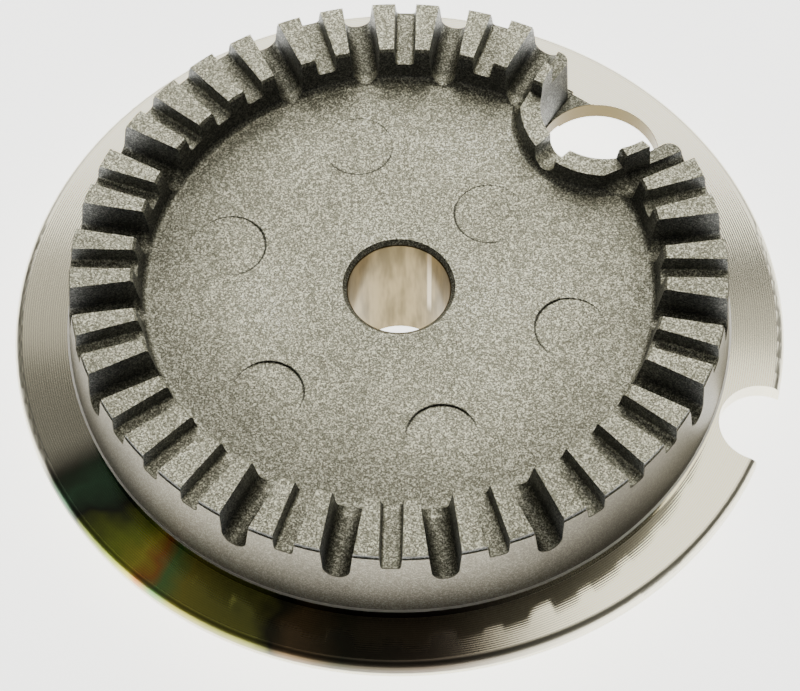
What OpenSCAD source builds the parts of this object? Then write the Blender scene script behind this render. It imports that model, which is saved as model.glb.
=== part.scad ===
// Crown of a gas hob burner, one aluminium casting.
// Gas rises through the tube into the bowl, spreads under the cap that lies on the
// teeth, and leaves through the ports between them.
// Origin: on the axis, at the lower end of the tube. X: through a small port.

/* [Flange] */
// Outside diameter of the flange
flange_d = 76; // [74:0.5:82]
// Thickness of the flange
flange_t = 1.9; // [1.6:0.1:2.4]
// Radius of the upper edge of the flange
flange_edge_r = 0.8; // [0.3:0.1:1.2]

/* [Port ring] */
// Height of the tooth tops above the seat
ring_h = 11.5; // [10.9:0.1:13]
// Outside diameter of the port ring at its foot
ring_foot_d = 65; // [64:0.2:66]
// Outside diameter of the port ring at the tooth tops
ring_top_d = 63; // [61.6:0.2:63.4]
// Inside diameter of the port ring at the tooth tops
ring_bore_d = 51; // [50.2:0.2:52]
// Width of the ledge outside the tooth tops
ledge_w = 0.15; // [0.1:0.05:0.3]
// Depth of the ledge below the tooth tops
ledge_h = 0.45; // [0.15:0.05:0.6]
// Bevel on the inner edge of the tooth tops
tooth_bevel = 0.25; // [0.1:0.05:0.5]
// Width of the turned ledge at the foot of the port ring
foot_ledge_w = 0.2; // [0.1:0.05:0.4]
// Height of that ledge above the flange
foot_ledge_h = 0.7; // [0.3:0.05:0.9]

/* [Ports] */
// Number of pitches round the ring
pitches = 40; // [24:8:40]
// Width of a main port at its round bottom
main_port_w = 2.6; // [2:0.05:2.8]
// Depth of a main port below the tooth tops
main_port_depth = 4; // [3:0.1:4.2]
// Width of a small port at its bottom
small_port_w = 1.9; // [1.2:0.05:2.1]
// Depth of a small port below the tooth tops
small_port_depth = 1.9; // [1.4:0.1:2.6]
// Radius of the corners at the bottom of a small port
small_port_r = 0.4; // [0.2:0.05:0.5]
// Draft of the port walls in degrees
port_draft = 5; // [1:0.5:6]

/* [Bowl] */
// Diameter of the bowl at its floor
bowl_d = 49.8; // [49:0.2:50]
// Height of the bowl's floor above the seat
floor_h = 7.4; // [6.4:0.1:7.6]
// Thickness of the bowl's floor
floor_t = 2.2; // [1.8:0.1:2.8]
// Fillet round the bowl's floor
bowl_fillet_r = 0.9; // [0.5:0.1:1.2]
// Diameter of an ejector mark
mark_d = 6.9; // [5:0.1:7.5]
// Depth of an ejector mark
mark_depth = 0.1; // [0.08:0.02:0.2]
// Tilt of an ejector mark in degrees, deeper towards the axis
mark_tilt = 1; // [0:0.25:1.25]
// Distance of the ejector marks from the axis
mark_r = 17.2; // [16:0.1:19]
// Distance from the axis of the mark nearest the electrode
near_mark_r = 12.3; // [11:0.1:13]

/* [Gas tube] */
// Bore of the gas tube
bore_d = 10; // [8:0.1:11]
// Bevel at the mouth of the bore
bore_bevel = 0.5; // [0.2:0.1:0.8]
// Bevel inside the tube's lower end
tube_bevel = 1; // [0.3:0.1:1.2]
// Wall of the gas tube at its lower end
tube_wall = 1.8; // [1.4:0.1:2.4]
// Length of the gas tube below the seat
tube_drop = 9; // [6:0.5:14]
// Draft of the tube and of the hollow in degrees
cast_draft = 2; // [1:0.5:3]

/* [Underside] */
// Diameter of the hollow under the bowl
hollow_d = 59; // [56:0.5:60]
// Fillet round the roof of the hollow
hollow_fillet_r = 1; // [0.5:0.1:1.5]
// How far the boss round the electrode hole ends above the seat
boss_gap = 0.3; // [0.2:0.1:0.8]

/* [Electrode pocket] */
// Diameter of the electrode hole
electrode_d = 12.3; // [12:0.1:13]
// Distance of the electrode hole from the axis
electrode_r = 28.3; // [27.5:0.1:28.5]
// Width of the ledge between the electrode hole and the pocket's wall
pocket_ledge = 0.15; // [0.05:0.05:0.4]
// Wall of the pocket at its top
pocket_wall = 2; // [1.6:0.1:2.4]
// Height of the pocket's wall above the seat
pocket_h = 9.9; // [9.3:0.1:10.4]
// Draft of the outside of the pocket's wall in degrees
pocket_draft = 8; // [3:1:12]
// Step from the turned flange up to the pocket's cast floor
pocket_step = 0.12; // [0.05:0.01:0.3]
// Splay of the pocket's sides in degrees
pocket_splay = 12; // [4:1:16]
// Height above the seat of the low corners beside the pocket's mouth
low_corner_h = 8.8; // [8.2:0.1:9.6]
// Depth of the port in the pocket's wall
pocket_port_depth = 2; // [1.4:0.1:2.2]
// Distance from the axis at which the low corners begin
low_corner_x = 27.3; // [26.5:0.1:28.5]
// Radius of the upright edges beside the pocket's mouth
mouth_r = 1.2; // [0.5:0.1:1.5]

/* [Thermocouple notch] */
// Diameter of the notch in the flange
notch_d = 8.3; // [7:0.1:8.8]
// Distance of the notch's centre from the axis
notch_r = 37.1; // [37:0.1:38.5]
// Direction of the notch in degrees
notch_az = -18; // [-90:1:0]

/* [Hidden] */
$fn = 96;
// How far a cut runs past the surface that it opens
over = 1;
// How deep the foot of the pocket's wall runs into the bowl's floor
sunk = 0.05;
// The electrode pocket lies in the middle of a quarter
quarter_turn = 90;
electrode_az = quarter_turn / 2;
ring_marks = 6;
seat_z = tube_drop;
ring_top_z = seat_z + ring_h;
floor_z = seat_z + floor_h;
flange_z = seat_z + flange_t;
pocket_floor_z = flange_z + pocket_step;
pocket_top_z = seat_z + pocket_h;
low_corner_z = seat_z + low_corner_h;
roof_z = floor_z - floor_t;
flange_r = flange_d / 2;
ring_foot_r = ring_foot_d / 2;
ring_top_r = ring_top_d / 2;
ring_bore_r = ring_bore_d / 2;
bowl_r = bowl_d / 2;
bore_r = bore_d / 2;
tube_r = bore_r + tube_wall;
hollow_r = hollow_d / 2;
electrode_hole_r = electrode_d / 2;
pocket_inner_r = electrode_hole_r + pocket_ledge;
pocket_r = pocket_inner_r + pocket_wall;
pitch_angle = 360 / pitches;
pocket_half_angle = 2 * pitch_angle;
pocket_spread = tan(pocket_half_angle);
foot_z = flange_z + foot_ledge_h;
ledge_z = ring_top_z - ledge_h;
ledge_r = ring_top_r + ledge_w;
// Angles by which the ring's walls lean, the inner one outwards and the outer one inwards
bowl_lean = atan((ring_bore_r - bowl_r) / (ring_top_z - floor_z));
drum_lean = atan((ring_foot_r - ledge_r) / (ledge_z - foot_z));
cut_inner_r = bowl_r - bowl_fillet_r - over;
cut_outer_r = ring_foot_r + over;

// A main port lies at every odd pitch, apart from the one in the middle of each quarter
function is_main_port(k) = k % 2 == 1 && k % (pitches / 4) != pitches / 8;

// Angle between a port and the electrode pocket
function from_pocket(k) = abs(k * pitch_angle - electrode_az);

// How far the middle of a fillet lies from the foot of a wall that leans away from it
function fillet_middle(r, lean) = r / cos(lean) - r * tan(lean);

// Section of the casting on one side of its axis, before the cuts
module section() {
    difference() {
        union() {
            solid_section();
            translate([flange_r - flange_edge_r, flange_z - flange_edge_r])
                circle(flange_edge_r);
        }
        bowl_round();
        hollow_rounds();
    }
}

// The fillets are left as bevels here, and cut round afterwards
module solid_section() {
    lean = tan(cast_draft);
    f = hollow_fillet_r;
    m = fillet_middle(f, cast_draft);
    b = bowl_fillet_r;
    polygon([
        [bore_r, tube_bevel],
        [bore_r + tube_bevel, 0],
        [tube_r, 0],
        [tube_r + lean * (roof_z - m), roof_z - m],
        [tube_r + lean * roof_z + m, roof_z],
        [hollow_r - lean * (roof_z - seat_z) - m, roof_z],
        [hollow_r - lean * (roof_z - seat_z - m), roof_z - m],
        [hollow_r, seat_z],
        [flange_r, seat_z],
        [flange_r, flange_z - flange_edge_r],
        [flange_r - flange_edge_r, flange_z],
        [ring_foot_r + foot_ledge_w, flange_z],
        [ring_foot_r + foot_ledge_w, foot_z],
        [ring_foot_r, foot_z],
        [ledge_r, ledge_z],
        [ring_top_r, ledge_z],
        [ring_top_r, ring_top_z],
        [ring_bore_r + tooth_bevel, ring_top_z],
        [ring_bore_r, ring_top_z - tooth_bevel],
        [bowl_r + b * tan(bowl_lean), floor_z + b],
        [bowl_r - fillet_middle(b, bowl_lean), floor_z],
        [bore_r + bore_bevel, floor_z],
        [bore_r, floor_z - bore_bevel]
    ]);
}

module bowl_round() {
    translate([bowl_r - fillet_middle(bowl_fillet_r, bowl_lean), floor_z + bowl_fillet_r])
        circle(bowl_fillet_r);
}

module hollow_rounds() {
    lean = tan(cast_draft);
    m = fillet_middle(hollow_fillet_r, -cast_draft);
    z = roof_z - hollow_fillet_r;
    translate([tube_r + lean * roof_z + m, z]) circle(hollow_fillet_r);
    translate([hollow_r - lean * (roof_z - seat_z) - m, z]) circle(hollow_fillet_r);
}

// Section of a main port: round bottom, drafted walls, with its lowest point at the origin
module main_port_section() {
    r = main_port_w / 2;
    top = main_port_depth + over;
    flare = tan(port_draft) * (top - r);
    translate([0, r]) circle(r);
    polygon([[-r, r], [r, r], [r + flare, top], [-r - flare, top]]);
}

// Section of a small port: flat bottom with rounded corners, drafted walls
module small_port_section() {
    r = small_port_r;
    half = small_port_w / 2;
    top = small_port_depth + over;
    flare = tan(port_draft) * (top - r);
    for (side = [-1, 1]) translate([side * (half - r), r]) circle(r);
    translate([r - half, 0]) square([small_port_w - 2 * r, 2 * r]);
    polygon([[-half, r], [half, r], [half + flare, top], [-half - flare, top]]);
}

// Runs a port's section through the ring's wall, along X
module port_cut(depth) {
    translate([cut_inner_r, 0, ring_top_z - depth])
        rotate([90, 0, 90]) linear_extrude(cut_outer_r - cut_inner_r) children();
}

// What is cut off an upright edge to round it: the corner of a rectangle outside a circle
module edge_corner(r, side_x, side_y) {
    difference() {
        translate([min(0, side_x * (r + over)), min(0, side_y * (r + sunk))])
            square([r + over, r + sunk]);
        circle(r);
    }
}

// The three pitches in front of the electrode have no port in the ring
module ports() {
    for (k = [0 : pitches - 1]) {
        if (from_pocket(k) > pocket_half_angle - pitch_angle / 2) rotate(k * pitch_angle) {
            if (is_main_port(k)) port_cut(main_port_depth) main_port_section();
            else port_cut(small_port_depth) small_port_section();
        }
    }
}

module at_electrode() {
    rotate(electrode_az) translate([electrode_r, 0, 0]) children();
}

// Wall round the pocket inside the bowl, with a fillet at its foot that runs into the floor
module pocket_wall_solid() {
    sunk_z = floor_z - sunk;
    foot_r = pocket_r + (pocket_top_z - sunk_z) * tan(pocket_draft);
    f = bowl_fillet_r;
    m = fillet_middle(f, pocket_draft);
    intersection() {
        at_electrode() rotate_extrude() difference() {
            polygon([
                [0, roof_z + floor_t / 2],
                [foot_r + m, roof_z + floor_t / 2],
                [foot_r + m, sunk_z],
                [foot_r - f * tan(pocket_draft), sunk_z + f],
                [pocket_r, pocket_top_z],
                [0, pocket_top_z]
            ]);
            translate([foot_r + m, sunk_z + f]) circle(f);
        }
        cylinder(r = (ring_bore_r + ring_top_r) / 2, h = ring_top_z);
    }
}

// Boss round the electrode hole, under the bowl
module electrode_boss() {
    intersection() {
        at_electrode() translate([0, 0, seat_z + boss_gap])
            cylinder(r = pocket_r, h = floor_z - seat_z - boss_gap);
        cylinder(r = (hollow_r + ring_foot_r) / 2, h = ring_top_z);
    }
}

// Lowers the teeth beside the pocket's mouth, between its two neighbouring main ports
module low_corners() {
    near = low_corner_x;
    far = cut_outer_r;
    rotate(electrode_az) translate([0, 0, low_corner_z]) linear_extrude(ring_h) polygon([
        [near, -near * pocket_spread],
        [far, -far * pocket_spread],
        [far, far * pocket_spread],
        [near, near * pocket_spread]
    ]);
}

// Electrode hole, and the pocket above it: round inside, splayed towards the flange
module pocket_cut() {
    far = cut_outer_r - electrode_r;
    r = pocket_inner_r;
    near_x = r * sin(pocket_splay);
    near_y = r * cos(pocket_splay);
    far_y = r / cos(pocket_splay) + far * tan(pocket_splay);
    at_electrode() {
        translate([0, 0, seat_z - over]) cylinder(r = electrode_hole_r, h = ring_h);
        translate([0, 0, pocket_floor_z]) linear_extrude(ring_h) {
            circle(r);
            polygon([[-near_x, -near_y], [far, -far_y], [far, far_y], [-near_x, near_y]]);
        }
    }
}

// Main port through the pocket's wall, towards the axis
module pocket_port() {
    from_r = electrode_r - pocket_r - 2 * over;
    rotate(electrode_az) translate([from_r, 0, pocket_top_z - pocket_port_depth]) rotate([90, 0, 90])
        linear_extrude(electrode_r - from_r) main_port_section();
}

// Rounds the upright edges on both sides of the pocket's mouth
module mouth_rounds() {
    r = mouth_r;
    across = pocket_inner_r + r;
    out = sqrt(pow(ledge_r - r, 2) - pow(across - electrode_r * sin(pocket_splay), 2))
        - electrode_r * cos(pocket_splay);
    at_electrode() for (side = [-1, 1]) rotate(side * pocket_splay)
        translate([out, side * across, ledge_z]) rotate([0, -drum_lean, 0])
            translate([0, 0, pocket_floor_z - ledge_z]) linear_extrude(ring_h)
                edge_corner(r, 1, -side);
}

module ejector_marks() {
    for (k = [0 : ring_marks - 1])
        rotate(electrode_az + k * 360 / ring_marks)
            translate([k == 0 ? near_mark_r : mark_r, 0, floor_z])
                rotate([0, -mark_tilt, 0]) translate([0, 0, -mark_depth])
                    cylinder(d = mark_d, h = mark_depth + over);
}

module thermocouple_notch() {
    rotate(notch_az) translate([notch_r, 0, seat_z - over])
        cylinder(d = notch_d, h = flange_t + 2 * over);
}

module burner_crown() {
    color("silver") difference() {
        union() {
            pocket_wall_solid();
            electrode_boss();
            rotate_extrude() section();
        }
        low_corners();
        pocket_cut();
        pocket_port();
        mouth_rounds();
        ports();
        ejector_marks();
        thermocouple_notch();
    }
}

burner_crown();
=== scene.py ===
# %% [markdown]
# # Crown of a gas burner
# A burner crown spreads the gas of a hob into a ring of small flames. This one is a single aluminium
# casting, so its shape comes whole from the frame, and the lesson is about light and finishes: the
# grain that blasting leaves on the casting, the lines of the lathe on the flange, and the drilled bore.

# %% The tools and the frame
import math

import bpy
from mathutils import Matrix, Vector


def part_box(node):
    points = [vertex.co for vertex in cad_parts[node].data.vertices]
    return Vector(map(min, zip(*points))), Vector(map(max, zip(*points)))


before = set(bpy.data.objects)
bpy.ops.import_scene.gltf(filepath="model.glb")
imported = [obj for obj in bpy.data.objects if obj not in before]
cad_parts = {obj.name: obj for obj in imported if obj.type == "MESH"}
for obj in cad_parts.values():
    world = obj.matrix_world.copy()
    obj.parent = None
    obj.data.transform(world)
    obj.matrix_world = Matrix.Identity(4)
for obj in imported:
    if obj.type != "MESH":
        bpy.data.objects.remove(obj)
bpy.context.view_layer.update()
MM = 0.001
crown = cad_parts["burner_crown"]
low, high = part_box("burner_crown")
print("crown from", [round(v, 4) for v in low], "to", [round(v, 4) for v in high])

# %% [markdown]
# ## Camera
# A small part is photographed from close by, so its far side looks a little smaller than its near one.
# A long lens 27 cm away gives that, and the part nearly fills the picture.

# %% The camera
camera_data = bpy.data.cameras.new("camera")
camera_data.sensor_width = 36
camera_data.lens = 123.27
camera_data.clip_start = 0.01
camera_data.clip_end = 20
camera = bpy.data.objects.new("camera", camera_data)
bpy.context.scene.collection.objects.link(camera)
yaw, tilt, roll = math.radians(1.87), math.radians(31.347), math.radians(-0.659)
aim = Matrix.Rotation(yaw, 4, "Z") @ Matrix.Rotation(tilt, 4, "X") @ Matrix.Rotation(roll, 4, "Z")
camera.matrix_world = Matrix.Translation(Vector((4.716, -143.316, 240.729)) * MM) @ aim
bpy.context.scene.camera = camera
print("camera at", [round(v, 3) for v in camera.location], "tilted by", round(math.degrees(tilt), 1))

# %% [markdown]
# ## Small helpers for nodes
# Every finish below is worked out from the place of a point on the part. In the node editor that is a
# chain of Math nodes, and in code a chain reads best when each helper hands back the socket to go on with.

# %% Helpers that add nodes
def put(tree, socket, value):
    if isinstance(value, bpy.types.NodeSocket):
        tree.links.new(value, socket)
    else:
        socket.default_value = value


def add(tree, kind, settings=None, **inputs):
    node = tree.nodes.new(kind)
    for name, value in (settings or {}).items():
        setattr(node, name, value)
    for name, value in inputs.items():
        put(tree, node.inputs[name.replace("_", " ")], value)
    return node


def calc(tree, operation, *values):
    node = tree.nodes.new("ShaderNodeMath")
    node.operation = operation
    for socket, value in zip(node.inputs, values):
        put(tree, socket, value)
    return node.outputs[0]


def rise(tree, value, start, end, low_value=0.0, high_value=1.0):
    node = add(tree, "ShaderNodeMapRange", {"interpolation_type": "SMOOTHSTEP"})
    for name, number in (("Value", value), ("From Min", start), ("From Max", end), ("To Min", low_value), ("To Max", high_value)):
        put(tree, node.inputs[name], number)
    return node.outputs["Result"]


def blend(tree, mask, first, second):
    node = add(tree, "ShaderNodeMix", {"data_type": "RGBA"})
    put(tree, node.inputs[0], mask)
    put(tree, node.inputs[6], first)
    put(tree, node.inputs[7], second)
    return node.outputs[2]


def level(tree, mask, first, second):
    node = add(tree, "ShaderNodeMix", {"data_type": "FLOAT"})
    put(tree, node.inputs[0], mask)
    put(tree, node.inputs[2], first)
    put(tree, node.inputs[3], second)
    return node.outputs[0]


def new_group(name, inputs, outputs):
    tree = bpy.data.node_groups.new(name, "ShaderNodeTree")
    for label, kind in inputs:
        tree.interface.new_socket(label, in_out="INPUT", socket_type=kind)
    for label, kind in outputs:
        tree.interface.new_socket(label, in_out="OUTPUT", socket_type=kind)
    return tree, tree.nodes.new("NodeGroupInput").outputs, tree.nodes.new("NodeGroupOutput").inputs


def use_group(tree, group, **inputs):
    node = tree.nodes.new("ShaderNodeGroup")
    node.node_tree = group
    for name, value in inputs.items():
        put(tree, node.inputs[name.replace("_", " ")], value)
    return node.outputs


FLOAT, VECTOR, COLOUR = "NodeSocketFloat", "NodeSocketVector", "NodeSocketColor"
print("node helpers are ready")

# %% [markdown]
# ## Where a point lies
# The part is round, so distance from the axis, height and angle tell one surface from the next.

# %% Group: place on a round part
place_group, given, result = new_group(
    "round_place", [("Position", VECTOR)], [("Radius", FLOAT), ("Height", FLOAT), ("Angle", FLOAT)]
)
split = add(place_group, "ShaderNodeSeparateXYZ", Vector=given["Position"]).outputs
flat = add(place_group, "ShaderNodeCombineXYZ", X=split["X"], Y=split["Y"]).outputs["Vector"]
put(place_group, result["Radius"], add(place_group, "ShaderNodeVectorMath", {"operation": "LENGTH"}, Vector=flat).outputs["Value"])
put(place_group, result["Height"], split["Z"])
put(place_group, result["Angle"], calc(place_group, "ARCTAN2", split["Y"], split["X"]))
print(place_group.name, "has", len(place_group.nodes), "nodes")

# %% [markdown]
# ## Blasted grain
# Blasting with grit leaves a skin of tiny facets. A noise gives the pits between them, and a cell texture
# gives each facet a grey of its own; the lightest facets are painted glints, colour that stands in for facets catching
# the light.

# %% Group: blasted grain
grain_group, given, result = new_group(
    "blasted_grain", [("Position", VECTOR), ("Grain", FLOAT)], [("Height", FLOAT), ("Speckle", FLOAT)]
)
scale = calc(grain_group, "DIVIDE", 1.0, given["Grain"])
pits = add(grain_group, "ShaderNodeTexNoise", Vector=given["Position"], Scale=scale, Detail=2.0, Roughness=0.65).outputs[0]
cells = add(grain_group, "ShaderNodeTexVoronoi", Vector=given["Position"], Scale=scale).outputs
facet = add(grain_group, "ShaderNodeSeparateColor", Color=cells["Color"]).outputs["Red"]
put(grain_group, result["Height"], pits)
# The cube of the cell grey leaves a few facets much lighter: painted glints on top of the grain's own tone.
painted_glint = calc(grain_group, "POWER", facet, 3.0)
mixed = calc(grain_group, "MULTIPLY_ADD", painted_glint, 0.55, calc(grain_group, "MULTIPLY", pits, 1.0))
put(grain_group, result["Speckle"], rise(grain_group, mixed, 0.35, 1.05))
print(grain_group.name, "has", len(grain_group.nodes), "nodes")

# %% [markdown]
# ## Lathe lines
# A lathe tool cuts one long spiral, which looks like fine rings. A sine of the radius gives their slopes,
# and a noise in the radius alone makes some rings deeper than others, as a real tool does.

# %% Group: lathe lines
lathe_group, given, result = new_group(
    "lathe_lines",
    [("Radius", FLOAT), ("Height", FLOAT), ("Pitch", FLOAT)],
    [("Lines", FLOAT), ("Uneven", FLOAT)],
)
turns = calc(lathe_group, "DIVIDE", calc(lathe_group, "ADD", given["Radius"], given["Height"]), given["Pitch"])
wave = calc(lathe_group, "SINE", calc(lathe_group, "MULTIPLY", turns, 2 * math.pi))
ring_place = add(lathe_group, "ShaderNodeCombineXYZ", X=turns).outputs["Vector"]
uneven = add(lathe_group, "ShaderNodeTexNoise", Vector=ring_place, Scale=0.37, Detail=3.0, Roughness=0.7).outputs[0]
put(lathe_group, result["Lines"], calc(lathe_group, "ADD", calc(lathe_group, "MULTIPLY", wave, 0.5), calc(lathe_group, "MULTIPLY", uneven, 0.8)))
put(lathe_group, result["Uneven"], uneven)
print(lathe_group.name, "has", len(lathe_group.nodes), "nodes")

# %% [markdown]
# ## Marks of the ejector pins
# The pins that push the casting out of its mould leave round marks, each a little deeper on one side. The group
# gives a painted shade arc in the deeper side's corner: near the mark's edge, and towards the axis.

# %% Group: painted shade on the deep side of a round mark
arc_group, given, result = new_group("mark_arc", [("Position", VECTOR), ("Centre", VECTOR)], [("Arc", FLOAT)])
offset = add(arc_group, "ShaderNodeVectorMath", {"operation": "SUBTRACT"}, Vector=given["Position"])
put(arc_group, offset.inputs[1], given["Centre"])
offset = add(arc_group, "ShaderNodeVectorMath", {"operation": "MULTIPLY"}, Vector=offset.outputs["Vector"])
offset.inputs[1].default_value = (1, 1, 0)
from_pin = add(arc_group, "ShaderNodeVectorMath", {"operation": "LENGTH"}, Vector=offset.outputs["Vector"]).outputs["Value"]
outwards = add(arc_group, "ShaderNodeVectorMath", {"operation": "NORMALIZE"}, Vector=given["Centre"]).outputs["Vector"]
along = add(arc_group, "ShaderNodeVectorMath", {"operation": "DOT_PRODUCT"}, Vector=offset.outputs["Vector"])
put(arc_group, along.inputs[1], outwards)
side = calc(arc_group, "DIVIDE", along.outputs["Value"], from_pin)
edge = calc(arc_group, "MULTIPLY", rise(arc_group, from_pin, 3.22 * MM, 3.40 * MM), rise(arc_group, from_pin, 3.58 * MM, 3.50 * MM))
put(arc_group, result["Arc"], calc(arc_group, "MULTIPLY", edge, rise(arc_group, side, 0.0, -0.7)))
print(arc_group.name, "has", len(arc_group.nodes), "nodes")

# %% [markdown]
# ## The crown's finish
# One casting is one material. Masks say where the lathe and the drill have been, and what is left is
# the blasted skin.

# %% Material: the places of the finishes
aluminium = bpy.data.materials.new("cast_aluminium")
aluminium.use_nodes = True
tree = aluminium.node_tree
shader = tree.nodes["Principled BSDF"]
position = tree.nodes.new("ShaderNodeTexCoord").outputs["Object"]
place = use_group(tree, place_group, Position=position)
radius, height, angle = place["Radius"], place["Height"], place["Angle"]

on_flange = calc(tree, "MULTIPLY", rise(tree, radius, 32.46 * MM, 32.5 * MM), rise(tree, height, 11.66 * MM, 11.62 * MM))
on_seat = calc(tree, "MULTIPLY", rise(tree, radius, 29.2 * MM, 29.3 * MM), rise(tree, height, 9.06 * MM, 9.03 * MM))
on_flange = calc(tree, "MAXIMUM", on_flange, on_seat)
in_bore = rise(tree, radius, 5.12 * MM, 5.06 * MM)
outward = calc(tree, "ADD", radius, calc(tree, "MULTIPLY", height, 0.1006))
on_drum = calc(tree, "MULTIPLY", rise(tree, outward, 33.56 * MM, 33.64 * MM), rise(tree, height, 11.6 * MM, 11.64 * MM))
on_ledge = calc(tree, "MULTIPLY", rise(tree, radius, 32.3 * MM, 32.34 * MM), rise(tree, height, 11.5 * MM, 11.56 * MM))
on_ledge = calc(tree, "MULTIPLY", on_ledge, rise(tree, height, 11.68 * MM, 11.62 * MM))
hole_centre = add(tree, "ShaderNodeCombineXYZ", X=20.011 * MM, Y=20.011 * MM, Z=height).outputs["Vector"]
from_hole = add(tree, "ShaderNodeVectorMath", {"operation": "DISTANCE"}, Vector=position)
put(tree, from_hole.inputs[1], hole_centre)
in_hole = rise(tree, from_hole.outputs["Value"], 6.22 * MM, 6.17 * MM)
facing = add(tree, "ShaderNodeSeparateXYZ", Vector=tree.nodes["Texture Coordinate"].outputs["Normal"]).outputs["Z"]
is_level = rise(tree, calc(tree, "ABSOLUTE", facing), 0.2, 0.85)
# Each of the six marks gets an arc of painted shade.
painted_mark_shade = 0.0
for turn, distance in ((45, 12.3), (105, 17.2), (165, 17.2), (225, 17.2), (285, 17.2), (345, 17.2)):
    pin = (distance * math.cos(math.radians(turn)) * MM, distance * math.sin(math.radians(turn)) * MM, 0)
    painted_mark_shade = calc(tree, "MAXIMUM", painted_mark_shade, use_group(tree, arc_group, Position=position, Centre=pin)["Arc"])
print("masks: flange, ledge, bore, drum wall, electrode hole, level faces, ejector marks")

# %% Material: grain, lathe lines and stains
grain = use_group(tree, grain_group, Position=position, Grain=level(tree, on_drum, 0.13 * MM, 0.10 * MM))
lathe = use_group(tree, lathe_group, Radius=radius, Height=height, Pitch=0.22 * MM)
stain = add(tree, "ShaderNodeTexNoise", Vector=position, Scale=70.0, Detail=2.0, Roughness=0.6).outputs[0]
round_way = add(tree, "ShaderNodeCombineXYZ", X=calc(tree, "MULTIPLY", angle, 4.0), Y=calc(tree, "MULTIPLY", radius, 130.0)).outputs["Vector"]
streak = add(tree, "ShaderNodeTexNoise", Vector=round_way, Scale=1.0, Detail=3.0, Roughness=0.6).outputs[0]

# %% Material: colours
# Level faces take a light copy of the blasted skin and steep faces a dark one: the darker walls are painted shade.
blasted = blend(tree, grain["Speckle"], (0.18, 0.175, 0.125, 1), (1.0, 0.98, 0.77, 1))
shaded_steep_skin = blend(tree, grain["Speckle"], (0.13, 0.135, 0.13, 1), (0.48, 0.48, 0.45, 1))
skin = blend(tree, is_level, shaded_steep_skin, blasted)
# Below the tooth tops the ports are painted darker: painted shade in the recesses. The noise stain beside it is the
# casting's own uneven tone.
in_port = calc(tree, "MULTIPLY", rise(tree, radius, 25.5 * MM, 25.9 * MM), rise(tree, height, 19.6 * MM, 17.0 * MM))
wall = blend(tree, grain["Speckle"], (0.22, 0.20, 0.155, 1), (0.48, 0.455, 0.37, 1))
# One side of the drum wall is painted darker, towards near black: painted shade where less light reaches it.
painted_shade_side = calc(tree, "MULTIPLY", rise(tree, angle, -1.35, -0.75), rise(tree, angle, 0.2, -0.3))
wall = blend(tree, calc(tree, "MULTIPLY", painted_shade_side, 0.6), wall, (0.07, 0.06, 0.04, 1))
colour = blend(tree, on_drum, skin, wall)
stain_and_painted_shade = calc(tree, "MULTIPLY", rise(tree, stain, 0.3, 0.7, 0.86, 1.08), level(tree, calc(tree, "MULTIPLY", in_port, calc(tree, "SUBTRACT", 1.0, on_drum)), 1.0, 0.45))
# The bowl floor is painted lighter near its middle and darker towards its wall: a painted pool of light and painted
# shade.
from_middle = add(tree, "ShaderNodeVectorMath", {"operation": "DISTANCE"}, Vector=position)
put(tree, from_middle.inputs[1], (2 * MM, 3 * MM, 16 * MM))
in_bowl = calc(tree, "MULTIPLY", rise(tree, radius, 25.6 * MM, 25.2 * MM), rise(tree, height, 15.8 * MM, 16.1 * MM))
painted_bowl_shade = level(tree, in_bowl, 1.0, rise(tree, from_middle.outputs["Value"], 15 * MM, 27.5 * MM, 1.12, 0.66))
# The arcs darken the bowl floor to 0.16: painted shade in the marks' corners.
painted_bowl_shade = calc(tree, "MULTIPLY", painted_bowl_shade, level(tree, calc(tree, "MULTIPLY", painted_mark_shade, in_bowl), 1.0, 0.16))
stain_and_painted_shade = calc(tree, "MULTIPLY", stain_and_painted_shade, painted_bowl_shade)
colour = add(tree, "ShaderNodeVectorMath", {"operation": "SCALE"}, Vector=colour, Scale=stain_and_painted_shade).outputs["Vector"]

# On the near side of the flange a band of colours is painted in: painted iridescence of the lathe lines, fixed in the
# colour.
wander = calc(tree, "MULTIPLY_ADD", streak, 0.3, angle)
ramp = add(tree, "ShaderNodeValToRGB", Fac=rise(tree, wander, -2.70, -1.25))
tints = ((0.0, (0.50, 0.48, 0.36, 1)), (0.05, (0.03, 0.03, 0.02, 1)), (0.10, (0.07, 0.19, 0.10, 1)), (0.16, (0.02, 0.03, 0.02, 1)),
         (0.25, (0.42, 0.52, 0.05, 1)), (0.32, (0.80, 0.72, 0.08, 1)), (0.37, (0.75, 0.30, 0.06, 1)), (0.43, (0.22, 0.48, 0.14, 1)),
         (0.52, (0.50, 0.46, 0.07, 1)), (0.66, (0.30, 0.32, 0.06, 1)), (0.72, (0.03, 0.03, 0.01, 1)), (0.78, (0.20, 0.12, 0.05, 1)),
         (0.90, (0.04, 0.04, 0.02, 1)), (1.0, (0.10, 0.07, 0.05, 1)))
ramp.color_ramp.elements.remove(ramp.color_ramp.elements[0])
ramp.color_ramp.elements[0].position, ramp.color_ramp.elements[0].color = tints[0]
for spot, tint in tints[1:]:
    ramp.color_ramp.elements.new(spot).color = tint
painted_iridescence = calc(tree, "MULTIPLY", rise(tree, angle, -2.72, -2.60), rise(tree, angle, -0.95, -1.5))
painted_iridescence = calc(tree, "MULTIPLY", painted_iridescence, rise(tree, height, 9.4 * MM, 9.8 * MM))
turned = blend(tree, calc(tree, "MULTIPLY", painted_iridescence, 0.94), (0.92, 0.875, 0.69, 1), ramp.outputs["Color"])
lines = rise(tree, lathe["Lines"], -0.1, 0.9, 0.84, 1.07)
turned = add(tree, "ShaderNodeVectorMath", {"operation": "SCALE"}, Vector=turned, Scale=lines).outputs["Vector"]
colour = blend(tree, on_flange, colour, turned)
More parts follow.
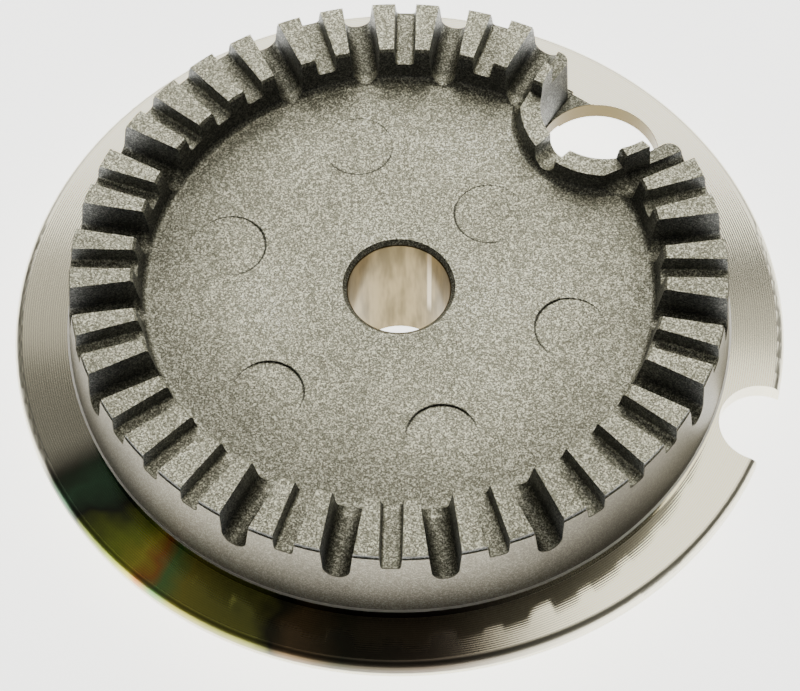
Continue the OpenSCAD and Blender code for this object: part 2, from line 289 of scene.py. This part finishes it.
# The ledge is painted near white: a painted highlight along the edge.
colour = blend(tree, on_ledge, colour, (0.95, 0.93, 0.86, 1))
scored_way = add(tree, "ShaderNodeCombineXYZ", X=calc(tree, "MULTIPLY", angle, 2.5), Y=calc(tree, "MULTIPLY", height, 90.0)).outputs["Vector"]
scored = add(tree, "ShaderNodeTexNoise", Vector=scored_way, Scale=1.0, Detail=3.0, Roughness=0.6).outputs[0]
drilled = blend(tree, rise(tree, scored, 0.36, 0.64), (0.15, 0.115, 0.05, 1), (0.32, 0.25, 0.125, 1))
# A narrow upright strip up the bore is painted light: a painted highlight.
painted_bore_highlight = calc(tree, "MULTIPLY", rise(tree, angle, 0.88, 0.92), rise(tree, angle, 1.02, 0.98))
painted_bore_highlight = calc(tree, "MULTIPLY", painted_bore_highlight, rise(tree, height, 5.0 * MM, 7.5 * MM))
drilled = blend(tree, painted_bore_highlight, drilled, (0.62, 0.53, 0.38, 1))
drilled = blend(tree, in_hole, drilled, (0.13, 0.10, 0.045, 1))
colour = blend(tree, calc(tree, "MAXIMUM", in_bore, in_hole), colour, drilled)
put(tree, shader.inputs["Base Color"], colour)

# %% Material: roughness and relief
roughness = rise(tree, grain["Speckle"], 0.0, 1.0, 0.50, 0.30)
roughness = level(tree, on_drum, roughness, 0.42)
roughness = level(tree, on_flange, roughness, 0.08)
roughness = level(tree, rise(tree, radius, 37.15 * MM, 37.3 * MM), roughness, 0.32)
roughness = level(tree, on_ledge, roughness, 0.55)
roughness = level(tree, in_bore, roughness, 0.28)
roughness = level(tree, in_hole, roughness, 0.3)
put(tree, shader.inputs["Roughness"], roughness)
shader.inputs["Metallic"].default_value = 0.92

depth = level(tree, on_drum, 0.055 * MM, 0.02 * MM)
depth = level(tree, calc(tree, "MAXIMUM", in_bore, in_hole), depth, 0.004 * MM)
relief = calc(tree, "MULTIPLY", grain["Height"], depth)
relief = level(tree, on_flange, relief, calc(tree, "MULTIPLY", lathe["Lines"], 0.0016 * MM))
bump = add(tree, "ShaderNodeBump", Strength=1.0, Distance=1.0, Height=relief)
put(tree, shader.inputs["Normal"], bump.outputs["Normal"])
crown.data.materials.clear()
crown.data.materials.append(aluminium)
print(aluminium.name, "has", len(tree.nodes), "nodes")

# %% [markdown]
# ## Floor
# The part lies on a pale table that is lit from within, so its underside and its holes are bright too.

# %% The floor
bpy.ops.object.select_all(action="DESELECT")
bpy.ops.mesh.primitive_plane_add(size=4, location=(0, 0, 0))
floor = bpy.context.object
floor.name = "floor"
paper = bpy.data.materials.new("floor_paper")
paper.use_nodes = True
paper_shader = paper.node_tree.nodes["Principled BSDF"]
paper_shader.inputs["Base Color"].default_value = (0.92, 0.92, 0.9, 1)
paper_shader.inputs["Roughness"].default_value = 0.9
paper_shader.inputs["Emission Color"].default_value = (1, 1, 0.98, 1)
paper_shader.inputs["Emission Strength"].default_value = 3.0
floor.data.materials.append(paper)
print("floor is", floor.dimensions.x, "m wide")

# %% [markdown]
# ## Light
# The key is a soft box behind the part at the height that the camera looks down from, so that every level
# face mirrors it and every wall that faces the camera stays dark.

# %% The lights
def soft_light(name, x, elevation, size, radiance, colour=(1, 1, 1)):
    data = bpy.data.lights.new(name, "AREA")
    data.shape = "RECTANGLE"
    data.size, data.size_y = size
    data.energy = math.pi * radiance * size[0] * size[1]
    data.color = colour
    lamp = bpy.data.objects.new(name, data)
    bpy.context.scene.collection.objects.link(lamp)
    turn = math.radians(elevation)
    lamp.location = (x, math.cos(turn), math.sin(turn))
    lamp.rotation_euler = (turn - math.pi / 2, 0, 0)
    lamp.visible_camera = False
    print(name, "at", elevation, "degrees with", round(data.energy, 2), "W")


soft_light("backdrop_light", 0.0, 33, (1.4, 0.84), 2.3, (1, 0.99, 0.95))
soft_light("key_light", 0.33, 69.6, (0.60, 0.365), 2.1, (1, 0.975, 0.87))
soft_light("right_light", 0.25, 58.3, (0.4, 0.03), 0.5, (1, 0.97, 0.88))
soft_light("left_light", -0.22, 57.6, (0.34, 0.07), 0.55, (1, 0.96, 0.86))
soft_light("dim_light", -0.23, 66, (0.36, 0.20), 0.10, (1, 0.98, 0.9))
soft_light("top_light", -0.10, 90, (0.5, 0.22), 0.25, (0.92, 0.96, 1))
soft_light("front_light", 0.0, 168, (1.6, 0.3), 0.25, (1, 0.98, 0.95))

# %% The surroundings
world = bpy.data.worlds.new("world")
world.use_nodes = True
world.node_tree.nodes["Background"].inputs["Color"].default_value = (1, 0.99, 0.96, 1)
world.node_tree.nodes["Background"].inputs["Strength"].default_value = 0.05
bpy.context.scene.world = world
print("surroundings at", 0.05)
